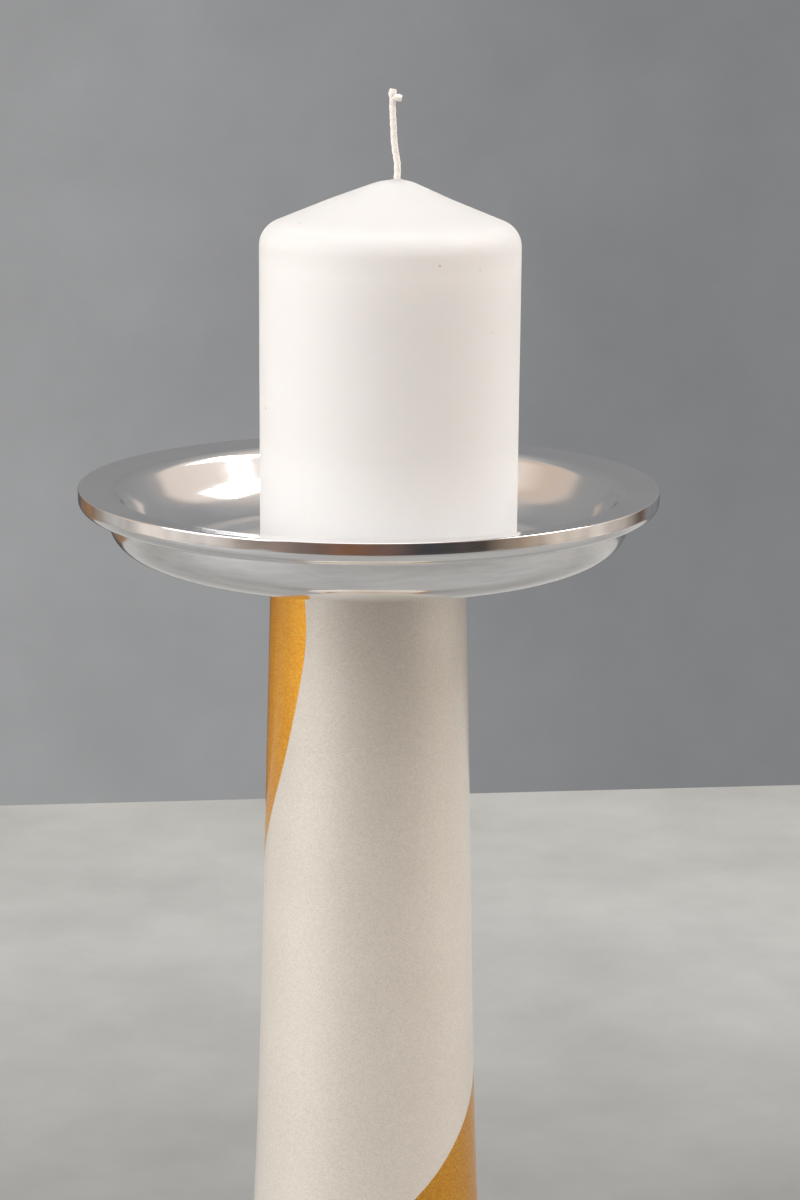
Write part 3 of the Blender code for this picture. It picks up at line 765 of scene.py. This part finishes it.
def smooth_path(points, steps):
    """Points on a curve that passes through all the given points."""
    ends = [points[0]] + list(points) + [points[-1]]
    path = []
    for before, first, second, after in zip(ends, ends[1:], ends[2:], ends[3:]):
        for step in range(steps):
            t = step / steps
            place = []
            for a, b, c, d in zip(before, first, second, after):
                bend = (2 * a - 5 * b + 4 * c - d) * t**2 + (3 * b - a - 3 * c + d) * t**3
                place.append(0.5 * (2 * b + (c - a) * t + bend))
            path.append(tuple(place))
    path.append(tuple(points[-1]))
    return path


STRANDS = 3
PLAIT_LENGTH = 6.6 * MM
PLAIT_WIDE = 0.18 * MM
PLAIT_DEEP = 0.14 * MM
YARN_R = 0.70 * MM
FRAY_FROM = 20.6 * MM


def plait_path(number, centre_line):
    """One strand of the plait, which crosses over and under the others."""
    path = []
    for sideways, height in centre_line:
        turn = 2 * math.pi * (height / PLAIT_LENGTH + number / STRANDS)
        spread = 1.1 - 0.25 * max(0.0, height) / FRAY_FROM
        across = PLAIT_WIDE * spread * math.sin(turn)
        deep = PLAIT_DEEP * spread * math.cos(turn)
        place = WICK_PLACE + Vector((sideways + across, deep, height))
        rough = noise.noise_vector(place * 900) * 0.05 * MM
        path.append(place + rough)
    return path


def tuft_path(start, aim, length, curl, steps=7):
    path = []
    for step in range(steps + 1):
        share = step / steps
        place = start + aim * (length * share) + curl * (length * share**2)
        path.append(place)
    return path


def make_wick():
    """A plaited cotton wick whose three strands part at the top into a frayed knot."""
    draw = random.Random(SEED)
    centre_line = smooth_path(WICK_BEND, 16)
    centre_line = between((0.0, WICK_LOW.z - WICK_PLACE.z), (0.0, 0.0), 60) + centre_line
    plaited = [point for point in centre_line if point[1] < FRAY_FROM]
    top = WICK_HIGH.z - 0.15 * MM
    ends = (
        ((-0.45, 0.05, 1.0), (0.35, 0.0, 0.4), 0.62),
        ((0.75, -0.10, 0.55), (0.75, 0.0, -0.55), 0.56),
        ((0.05, 0.12, 1.0), (0.10, 0.1, 0.6), 0.60),
    )
    pieces = []
    for number, (aim, curl, swell) in enumerate(ends):
        path = plait_path(number, plaited)
        radii = [YARN_R * (1 + 0.10 * noise.noise(Vector((number, 0, 900 * place.z)))) for place in path]
        start = path[-1]
        reach = min(1.45 * MM, (top - start.z) / 1.6)
        tail = tuft_path(start, Vector(aim), reach, Vector(curl))[1:]
        swells = [YARN_R * (1 + (swell - 0.2) * math.sin(math.pi * (i + 1) / 9)) for i in range(len(tail))]
        pieces.append(tube(f"strand_{number}", path + tail, radii + swells, 12))
    knot = WICK_PLACE + Vector((centre_line[-1][0], 0, 21.2 * MM))
    for number in range(22):
        angle = draw.uniform(0, 2 * math.pi)
        rise = draw.uniform(-0.3, 1.0)
        aim = Vector((math.cos(angle), math.sin(angle), rise)).normalized()
        start = knot + aim * draw.uniform(0.1, 0.4) * MM
        if number % 3 == 0:
            start += Vector((1.2 * MM, 0, 0))
        curl = Vector((draw.uniform(-0.6, 0.6), draw.uniform(-0.6, 0.6), draw.uniform(-0.5, 0.3)))
        path = tuft_path(start, aim, draw.uniform(0.3, 0.7) * MM, curl, 6)
        path = [Vector((place.x, place.y, min(place.z, top))) for place in path]
        pieces.append(tube(f"fibre_{number}", path, [0.075 * MM] * 6 + [0.03 * MM], 5))
    for number in range(26):
        height = draw.uniform(1 * MM, FRAY_FROM)
        sideways = np.interp(height, [p[1] for p in WICK_BEND], [p[0] for p in WICK_BEND])
        angle = draw.uniform(0, 2 * math.pi)
        aim = Vector((math.cos(angle), math.sin(angle), draw.uniform(0.3, 1.2))).normalized()
        start = WICK_PLACE + Vector((sideways, 0, height)) + Vector((aim.x, aim.y, 0)) * 0.80 * MM
        curl = Vector((-aim.x, -aim.y, 0.4)) * 0.6
        path = tuft_path(start, aim, draw.uniform(0.3, 0.7) * MM, curl, 5)
        pieces.append(tube(f"stray_{number}", path, [0.04 * MM] * 5 + [0.02 * MM], 5))
    return join("wick_plait", pieces)


# ---------------------------------------------------------------- steel parts and base

M8_PITCH = 1.25 * MM
M5_PITCH = 0.8 * MM


def make_spike():
    """The pricket: a turned spike on a flange, with a threaded stud that goes down into the plug."""
    flange_r = SPIKE_HIGH.x
    stud_r = 4.0 * MM
    flange_bottom = FLOOR_Z + GAP
    flange_top = flange_bottom + 2.0 * MM
    tip = SPIKE_HIGH.z
    rows = thread_rows(SPIKE_LOW.z + 0.8 * MM, flange_bottom - 2.0 * MM, 8, M8_PITCH)

    def outline(angle):
        points = [(0.0, tip)]
        points += arc((0.0, tip - 0.5 * MM), 0.5 * MM, 70, 7, 4)
        points += between((0.5 * MM, tip - 0.6 * MM), (3.6 * MM, flange_top + 1.2 * MM), 20)
        points += arc((5.2 * MM, flange_top + 1.6 * MM), 1.6 * MM, 187, 270, 6)
        points += [(flange_r - 0.5 * MM, flange_top)]
        points += arc((flange_r - 0.4 * MM, flange_top - 0.4 * MM), 0.4 * MM, 80, 0, 4)
        points += arc((flange_r - 0.4 * MM, flange_bottom + 0.4 * MM), 0.4 * MM, 0, -90, 4)
        points += [(stud_r - 0.3 * MM, flange_bottom), (stud_r - 0.3 * MM, flange_bottom - 1.9 * MM)]
        points += [(thread_radius(stud_r, M8_PITCH, angle, z), z) for z in reversed(rows)]
        points += [(2.8 * MM, SPIKE_LOW.z), (0.0, SPIKE_LOW.z)]
        return points

    return turned("spike_turned", outline, SMALL_STEPS, closed=False)


def make_rod():
    """The tie rod: plain in the middle and threaded at both ends."""
    radius = ROD_HIGH.x
    low_rows = thread_rows(ROD_LOW.z + 0.9 * MM, ROD_LOW.z + 28 * MM, 8, M8_PITCH)
    high_rows = thread_rows(ROD_HIGH.z - 22 * MM, ROD_HIGH.z - 0.9 * MM, 8, M8_PITCH)
    plain_top = (radius - 0.35 * MM, high_rows[0] - 1 * MM)
    plain_bottom = (radius - 0.35 * MM, low_rows[-1] + 1 * MM)

    def outline(angle):
        points = [(0.0, ROD_HIGH.z), (2.9 * MM, ROD_HIGH.z)]
        points += [(thread_radius(radius, M8_PITCH, angle, z), z) for z in reversed(high_rows)]
        points += between(plain_top, plain_bottom, 6)
        points += [plain_bottom]
        points += [(thread_radius(radius, M8_PITCH, angle, z), z) for z in reversed(low_rows)]
        points += [(2.9 * MM, ROD_LOW.z), (0.0, ROD_LOW.z)]
        return points

    return turned("tie_rod", outline, 48, closed=False)


def make_nut(name, node):
    low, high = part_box(node)
    flats = 13.0 * MM
    bore = 4.3 * MM
    crown = flats / 2 - 0.15 * MM
    lead_in = 0.5 * MM

    def outline(angle):
        side = hexagon(flats, angle)
        drop = (side - crown) * math.tan(math.radians(30)) + 0.05 * MM
        points = [(bore, low.z + lead_in), (bore, high.z - lead_in), (bore + lead_in, high.z)]
        points += [(crown, high.z), (side - 0.05 * MM, high.z - drop + 0.03 * MM), (side, high.z - drop)]
        points += [(side, low.z + drop), (side - 0.05 * MM, low.z + drop - 0.03 * MM), (crown, low.z)]
        points += [(bore + lead_in, low.z)]
        return points

    return turned(name, outline, 144)


def make_washer():
    low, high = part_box("base_washer")
    bore = 4.3 * MM
    edge = 0.35 * MM
    outline = [(bore, low.z + 0.15 * MM), (bore, high.z - 0.15 * MM), (bore + 0.15 * MM, high.z)]
    outline += arc((high.x - edge, high.z - edge), edge, 90, 0, 5)
    outline += arc((high.x - edge, low.z + edge), edge, 0, -90, 5)
    outline += [(bore + 0.15 * MM, low.z)]
    return turned("base_washer_disc", outline, ROUND_STEPS // 2)


def make_spring_washer():
    """A split spring ring of square wire, whose two ends stand a little apart in height."""
    low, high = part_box("spring_washer")
    inner = 4.35 * MM
    outer = high.x
    rise = 0.5 * MM
    thick = high.z - low.z - rise
    edge = 0.12 * MM
    opening = math.radians(12)
    section = [
        (inner + edge, 0.0),
        (outer - edge, 0.0),
        (outer, edge),
        (outer, thick - edge),
        (outer - edge, thick),
        (inner + edge, thick),
        (inner, thick - edge),
        (inner, edge),
    ]
    steps = 120
    points = []
    faces = []
    count = len(section)
    for step in range(steps + 1):
        share = step / steps
        angle = share * (2 * math.pi - opening)
        for radius, height in section:
            lifted = low.z + height + rise * share
            points.append((radius * math.cos(angle), radius * math.sin(angle), lifted))
    for step in range(steps):
        for corner in range(count):
            here = step * count + corner
            beside = step * count + (corner + 1) % count
            faces.append((here + count, beside + count, beside, here))
    faces.append(tuple(range(count)))
    faces.append(tuple(reversed(range(steps * count, steps * count + count))))
    return mesh_piece("split_spring_washer", points, faces)


def make_screw(name, node):
    """A countersunk socket screw."""
    low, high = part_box(node)
    centre = ((low.x + high.x) / 2, (low.y + high.y) / 2)
    head_r = (high.x - low.x) / 2
    shank_r = 2.4 * MM
    head = 2.4 * MM
    socket = 3.0 * MM
    depth = 1.7 * MM
    rows = thread_rows(low.z + head + 1.2 * MM, high.z - 0.8 * MM, 8, M5_PITCH)

    def outline(angle):
        side = hexagon(socket, angle)
        points = [(0.0, high.z), (shank_r - 0.8 * MM, high.z)]
        points += [(thread_radius(shank_r, M5_PITCH, angle, z), z) for z in reversed(rows)]
        points += [(shank_r, low.z + head + 0.5 * MM), (shank_r, low.z + head)]
        points += [(head_r, low.z + 0.3 * MM), (head_r - 0.08 * MM, low.z + 0.1 * MM)]
        points += [(head_r - 0.3 * MM, low.z)]
        points += [(side + 0.15 * MM, low.z), (side, low.z + 0.15 * MM), (side, low.z + depth)]
        points += [(0.0, low.z + depth + 0.5 * MM)]
        return points

    return turned(name, outline, SMALL_STEPS, centre, closed=False)


def make_base_plate():
    """The pressed plate, with a cup for the nut and three countersunk holes."""
    cup_r = 20.0 * MM
    draft = 2.0 * MM
    wall = 3.0 * MM
    edge = 0.6 * MM
    rim = PLATE_HIGH.x
    low = PLATE_LOW.z
    top = low + wall
    ceiling = PLATE_HIGH.z - wall
    bore = 4.3 * MM
    bend = 1.4 * MM
    outline = [(bore, ceiling + 0.2 * MM), (bore, PLATE_HIGH.z)]
    outline += arc((cup_r + wall - bend, PLATE_HIGH.z - bend), bend, 90, 8, 6)
    outline += arc((cup_r + draft + wall + bend, top + bend), bend, 188, 270, 6)
    outline += between((cup_r + draft + wall + 2 * MM, top), (rim - edge, top), 8)
    outline += arc((rim - edge, top - edge), edge, 90, 0, 5)
    outline += arc((rim - edge, low + edge), edge, 0, -90, 5)
    outline += between((rim - 1 * MM, low), (cup_r + draft + 2 * bend, low), 8)
    outline += arc((cup_r + draft + bend, low + bend), bend, 270, 188, 6)
    outline += arc((cup_r - bend, ceiling - bend), bend, 8, 90, 6)
    outline += [(bore + 0.2 * MM, ceiling)]
    plate = turned("base_pressing", outline)
    tools = []
    for number in (1, 2, 3):
        screw_low, screw_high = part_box(f"ballast_screw_{number}")
        centre = ((screw_low.x + screw_high.x) / 2, (screw_low.y + screw_high.y) / 2)
        head_r = (screw_high.x - screw_low.x) / 2 + 0.25 * MM
        profile = [
            (0.0, top + 1 * MM),
            (2.7 * MM, top + 1 * MM),
            (2.7 * MM, low + 2.4 * MM),
            (head_r, low + 0.3 * MM),
            (head_r, low - 1 * MM),
            (0.0, low - 1 * MM),
        ]
        tools.append(turned(f"sink_{number}", profile, SMALL_STEPS - 1, centre, closed=False))
    carve(plate, tools)
    return plate


def make_foot():
    """The rubber ring, with shallow grooves in the face that it stands on."""
    inner = 57.0 * MM
    outer = FOOT_HIGH.x
    top = FOOT_HIGH.z
    edge = 0.6 * MM
    groove = 0.35 * MM
    outline = [(inner, edge), (inner, top - 0.2 * MM), (inner + 0.2 * MM, top), (outer - 0.2 * MM, top)]
    outline += [(outer, top - 0.2 * MM)]
    outline += arc((outer - edge, edge), edge, 0, -90, 5)
    for number in range(4):
        middle = outer - 1.7 * MM - number * 1.7 * MM
        outline += [(middle + 0.40 * MM, 0.0), (middle + 0.22 * MM, groove)]
        outline += [(middle - 0.22 * MM, groove), (middle - 0.40 * MM, 0.0)]
    outline += arc((inner + edge, edge), edge, 270, 200, 5)
    return turned("foot_rubber", outline)


# ---------------------------------------------------------------- stage

FLOOR_NEAR = 1.0
FLOOR_FAR = 0.725
FLOOR_TURN = math.radians(5.7)
FLOOR_SIDE = 1.0
FLOOR_DEPTH = 50 * MM


def make_floor():
    """A table top, whose straight far edge shows behind the stem."""
    near = ((-FLOOR_SIDE, -FLOOR_NEAR), (FLOOR_SIDE, -FLOOR_NEAR))
    far = ((FLOOR_SIDE, FLOOR_FAR), (-FLOOR_SIDE, FLOOR_FAR))
    inset = 8 * MM
    middle_y = (FLOOR_FAR - FLOOR_NEAR) / 2
    turn = Matrix.Rotation(FLOOR_TURN, 3, "Z")
    points = []
    for shrink, height in ((inset, 0.0), (0.0, -inset), (0.0, -FLOOR_DEPTH)):
        for x, y in near + far:
            corner = Vector((x - math.copysign(shrink, x), y - math.copysign(shrink, y - middle_y), height))
            points.append(turn @ corner)
    faces = [(0, 1, 2, 3), (11, 10, 9, 8)]
    for ring in (0, 4):
        for corner in range(4):
            beside = (corner + 1) % 4
            faces.append((ring + corner, ring + 4 + corner, ring + 4 + beside, ring + beside))
    floor = mesh_piece("floor", points, faces)
    floor.data.materials.append(pale_floor())


WHITE = (1.0, 1.0, 1.0)
DAYLIGHT = (0.95, 0.98, 1.0)


def make_light(name, place, aim, width, height, watts, tint=WHITE, shows=True):
    light = bpy.data.lights.new(name, "AREA")
    light.shape = "RECTANGLE"
    light.size = width
    light.size_y = height
    light.energy = watts
    light.color = tint
    lamp = bpy.data.objects.new(name, light)
    lamp.location = place
    lamp.visible_camera = False
    lamp.visible_glossy = shows
    lamp.rotation_mode = "QUATERNION"
    lamp.rotation_quaternion = (Vector(aim) - Vector(place)).to_track_quat("-Z", "Y")
    bpy.context.scene.collection.objects.link(lamp)


# What the metal reflects below and above the horizon: a colour for each direction, in degrees round
# the vertical from the camera's side.  They were set after the tones that the photographed dish
# shows in those directions.
ROOM_LOW = (
    (-180, (0.26, 0.26, 0.265)),
    (-172, (0.22, 0.21, 0.21)),
    (-163, (0.10, 0.10, 0.12)),
    (-145, (0.34, 0.18, 0.08)),
    (-120, (0.44, 0.43, 0.41)),
    (-95, (0.80, 0.71, 0.64)),
    (-67, (0.85, 0.79, 0.72)),
    (-45, (0.32, 0.24, 0.19)),
    (-25, (0.21, 0.155, 0.135)),
    (-8, (0.22, 0.10, 0.055)),
    (2, (0.20, 0.115, 0.085)),
    (22, (0.05, 0.052, 0.06)),
    (44, (0.08, 0.06, 0.05)),
    (62, (0.40, 0.30, 0.22)),
    (78, (0.74, 0.63, 0.54)),
    (102, (0.80, 0.71, 0.63)),
    (122, (0.36, 0.31, 0.27)),
    (134, (0.15, 0.10, 0.08)),
    (145, (0.25, 0.25, 0.26)),
    (165, (0.17, 0.17, 0.18)),
    (176, (0.24, 0.24, 0.245)),
)
ROOM_HIGH = (
    (-180, (0.27, 0.27, 0.275)),
    (-140, (0.30, 0.30, 0.30)),
    (-128, (0.32, 0.31, 0.30)),
    (-121, (0.60, 0.50, 0.43)),
    (-104, (0.62, 0.49, 0.40)),
    (-90, (0.80, 0.68, 0.58)),
    (-60, (0.62, 0.53, 0.46)),
    (-30, (0.34, 0.26, 0.20)),
    (0, (0.22, 0.17, 0.13)),
    (40, (0.34, 0.26, 0.20)),
    (70, (0.68, 0.58, 0.50)),
    (95, (0.78, 0.68, 0.61)),
    (122, (0.76, 0.66, 0.59)),
    (129, (0.38, 0.36, 0.35)),
    (140, (0.31, 0.31, 0.31)),
    (178, (0.26, 0.26, 0.265)),
)
ROOM_CEILING = (0.62, 0.55, 0.49)
ROOM_CEILING_BACK = (0.36, 0.36, 0.365)
# The wall's grey, with painted light: lighter on the left and darker on the right.
WALL_LEFT = (0.318, 0.320, 0.325)
WALL_RIGHT = (0.212, 0.215, 0.222)


def make_world():
    """A grey wall to look at, with painted light that makes it lighter on the left than on the right, and a
    warm room round it that the metal reflects.
    """
    world = bpy.data.worlds.new("studio")
    paint = Paint(world)
    room = world.node_tree.nodes["Background"]
    aim = paint.add("TexCoord").outputs["Generated"]
    x, y, z = paint.apart(aim)
    azimuth = paint.math("ARCTAN2", x, paint.math("MULTIPLY", y, -1.0))
    turn = paint.math("MULTIPLY_ADD", azimuth, 0.5 / math.pi, 0.5)
    patches = paint.noise(paint.stretched(aim, (1.0, 1.0, 1.8)), 5.5, 2.0)
    low_room = paint.lighten(paint.round_ramp(turn, ROOM_LOW), paint.remap(patches, 0.35, 0.65, 0.75, 1.3))
    low_room = paint.lighten(low_room, paint.remap(z, -0.12, -0.04, 0.84, 1.0))
    high_room = paint.round_ramp(turn, ROOM_HIGH)
    walls = paint.blend(paint.remap(z, -0.05, 0.10, 0.0, 1.0, smooth=True), low_room, high_room)
    back = paint.remap(y, 0.1, 0.6, 0.0, 1.0, smooth=True)
    ceiling = paint.blend(back, colour(*ROOM_CEILING), colour(*ROOM_CEILING_BACK))
    rise = paint.remap(z, 0.60, 0.80, 0.0, 1.0, smooth=True)
    paint.feed(room.inputs[0], paint.blend(rise, walls, ceiling))
    wall = paint.add("Background")
    # Painted light: the wall is lighter on the left and darker on the right.
    across = paint.remap(x, -0.15, 0.15, 0.0, 1.0, smooth=True)
    wall_grey_and_painted_light = paint.blend(across, colour(*WALL_LEFT), colour(*WALL_RIGHT))
    mottle = paint.remap(paint.noise(aim, 9.0, 7.0, 0.62), 0.3, 0.7, 0.91, 1.09)
    paint.feed(wall.inputs[0], paint.lighten(wall_grey_and_painted_light, mottle))
    choice = paint.add("MixShader")
    paint.feed(choice.inputs[0], paint.add("LightPath").outputs["Is Camera Ray"])
    paint.feed(choice.inputs[1], room.outputs[0])
    paint.feed(choice.inputs[2], wall.outputs[0])
    paint.feed(world.node_tree.nodes["World Output"].inputs[0], choice.outputs[0])
    bpy.context.scene.world = world


CAMERA_BACK = 705.0 * MM
CAMERA_ABOVE_FLANGE = 133.6 * MM
CAMERA_PITCH = math.radians(13.11)
CAMERA_YAW = math.radians(0.68)
CAMERA_ROLL = math.radians(0.42)
CAMERA_LENS = 81.4


def make_camera():
    data = bpy.data.cameras.new("camera")
    data.lens = CAMERA_LENS
    data.sensor_width = 36.0
    data.clip_start = 0.01
    data.clip_end = 20.0
    camera = bpy.data.objects.new("camera", data)
    forward = Vector(
        (
            math.sin(CAMERA_YAW) * math.cos(CAMERA_PITCH),
            math.cos(CAMERA_YAW) * math.cos(CAMERA_PITCH),
            -math.sin(CAMERA_PITCH),
        )
    )
    right = forward.cross(Vector((0, 0, 1))).normalized()
    up = right.cross(forward)
    rolled_right = math.cos(CAMERA_ROLL) * right + math.sin(CAMERA_ROLL) * up
    rolled_up = -math.sin(CAMERA_ROLL) * right + math.cos(CAMERA_ROLL) * up
    turn = Matrix((rolled_right, rolled_up, -forward)).transposed().to_4x4()
    place = Vector((0, -CAMERA_BACK, FLANGE_Z + CAMERA_ABOVE_FLANGE))
    camera.matrix_world = Matrix.Translation(place) @ turn
    bpy.context.scene.collection.objects.link(camera)
    bpy.context.scene.camera = camera


# ---------------------------------------------------------------- the whole


def finish_piece(piece, node, body, material):
    piece.data.materials.clear()
    piece.data.materials.append(material)
    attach(piece, body)
    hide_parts(node)


def dress_node(node, material):
    """Gives a CAD node that keeps its own shape a better material."""
    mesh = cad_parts[node].data
    mesh.materials.clear()
    mesh.materials.append(material)


def build():
    aluminium = polished_aluminium()
    zinc = zinc_plate()
    rubber = moulded_rubber()
    finish_piece(make_dish(), "drip_dish", "root", aluminium)
    finish_piece(make_stem(), "stem_shell", "root", enamel())
    finish_piece(make_candle(), "candle_wax", "candle", candle_wax())
    finish_piece(make_wick(), "candle_wick", "candle", cotton())
    finish_piece(make_spike(), "pricket_spike", "root", turned_steel())
    finish_piece(make_rod(), "centre_rod", "root", zinc)
    finish_piece(make_nut("base_nut_hex", "base_nut"), "base_nut", "root", zinc)
    finish_piece(make_nut("lock_nut_hex", "rod_lock_nut"), "rod_lock_nut", "root", zinc)
    finish_piece(make_washer(), "base_washer", "root", zinc)
    finish_piece(make_spring_washer(), "spring_washer", "root", zinc)
    finish_piece(make_base_plate(), "base_plate", "root", powder_coat())
    finish_piece(make_foot(), "foot_ring", "root", rubber)
    for number in (1, 2, 3):
        node = f"ballast_screw_{number}"
        finish_piece(make_screw(f"socket_screw_{number}", node), node, "root", zinc)
    dress_node("ballast_weight", cast_iron())
    dress_node("stem_top_plug", zinc)
    dress_node("dish_gasket", rubber)


def light_stage():
    """Broad soft light from the left and above, and smaller lights from the right."""
    middle = (0, 0, 0.26)
    make_light("key", (-1.0, -0.60, 0.60), middle, 1.1, 1.0, 6.1, DAYLIGHT)
    make_light("side", (0.80, 0.04, 1.14), middle, 0.60, 0.36, 5.3)
    make_light("top", (-0.05, -0.15, 1.40), middle, 1.0, 0.8, 3.5)
    make_light("high_left", (-0.75, -0.55, 1.15), middle, 0.6, 0.6, 5.2, DAYLIGHT, shows=False)
    make_light("right", (1.1, -0.20, 0.45), middle, 0.8, 0.8, 2.6, shows=False)


make_camera()
make_world()
make_floor()
light_stage()
build()
bpy.context.scene.view_settings.view_transform = "Standard"
